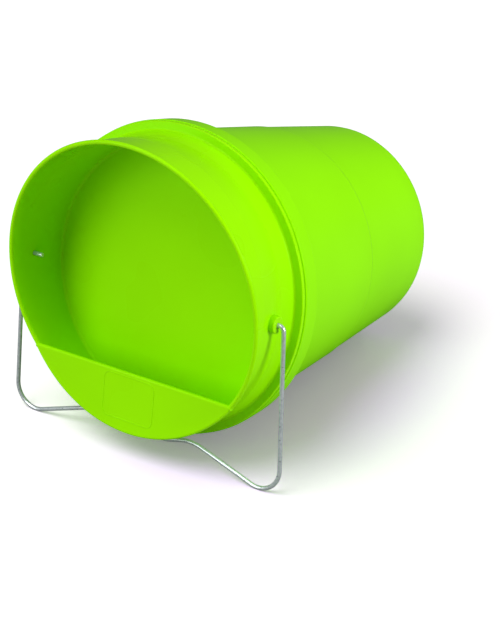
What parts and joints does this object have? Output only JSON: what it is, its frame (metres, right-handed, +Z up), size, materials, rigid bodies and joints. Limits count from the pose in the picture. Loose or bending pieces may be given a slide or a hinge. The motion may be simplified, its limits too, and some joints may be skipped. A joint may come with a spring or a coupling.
{
  "type": "drinking bucket",
  "caption": "Green plastic drinking bucket for poultry: it lies on its side, and a trough lid with a hood closes its mouth and stands on a bent wire that is also the bail.",
  "frame": {"origin": "on the ground, under the middle of the object as it lies in use", "axes": "+Z up, the trough's mouth faces -Y and the bucket's base lies towards +Y, +X is to the right for someone who looks into the mouth"},
  "size_m": [0.2994, 0.3778, 0.2976],
  "materials": {
    "bucket_plastic": "semi-gloss injection-moulded lime green plastic",
    "lid_plastic": "semi-gloss injection-moulded lime green plastic",
    "seal_rubber": "dull black rubber",
    "zinc_wire": "drawn, galvanised steel wire"
  },
  "bodies": {
    "bucket": {"bucket": "bucket_plastic"},
    "trough_lid": {"trough_lid": "lid_plastic", "sealing_ring": "seal_rubber"},
    "wire_stand": {"wire_stand": "zinc_wire"}
  },
  "joints": [
    {"name": "lid_pull", "type": "slide", "parent": "bucket", "child": "trough_lid", "axis": [0, -0.9853, 0.1709], "range_m": [0, 0.08]},
    {"name": "stand_swing", "type": "hinge", "parent": "trough_lid", "child": "wire_stand", "pos_m": [0, -0.1503, 0.1562], "axis": [-1, 0, 0], "range_deg": [-6.5, 161]}
  ]
}
